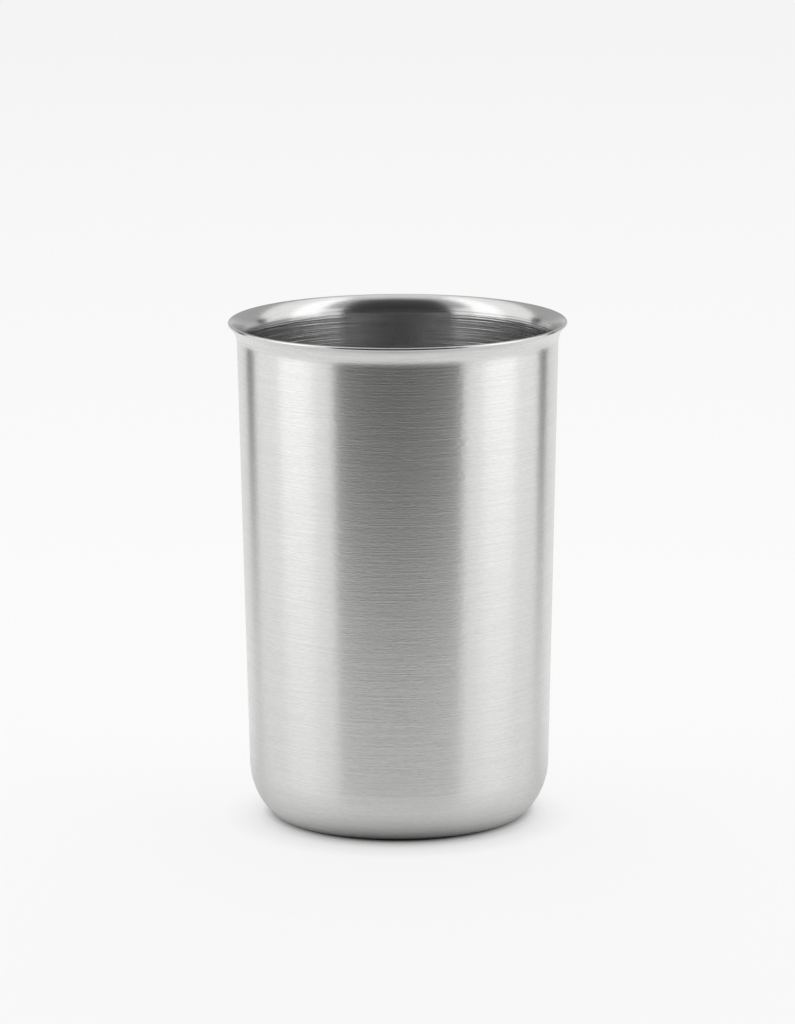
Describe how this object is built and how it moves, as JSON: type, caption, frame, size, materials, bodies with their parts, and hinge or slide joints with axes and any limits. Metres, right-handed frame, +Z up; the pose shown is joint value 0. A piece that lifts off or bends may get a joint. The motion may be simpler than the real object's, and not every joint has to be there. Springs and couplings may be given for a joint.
{
  "type": "steel tumbler",
  "caption": "Plain single-walled stainless steel drinking tumbler with a slightly tapered wall, a round shoulder above the base and a flared lip.",
  "frame": {"origin": "on the table, under the tumbler's axis, in the plane of the standing ring", "axes": "+Z up along the tumbler's axis, towards the mouth; the tumbler is round, so +X and +Y are free"},
  "size_m": [0.076, 0.076, 0.1125],
  "materials": {
    "brushed_steel": "brushed round the axis, with a polished lip"
  },
  "bodies": {
    "root": {"tumbler_body": "brushed_steel"}
  },
  "joints": []
}
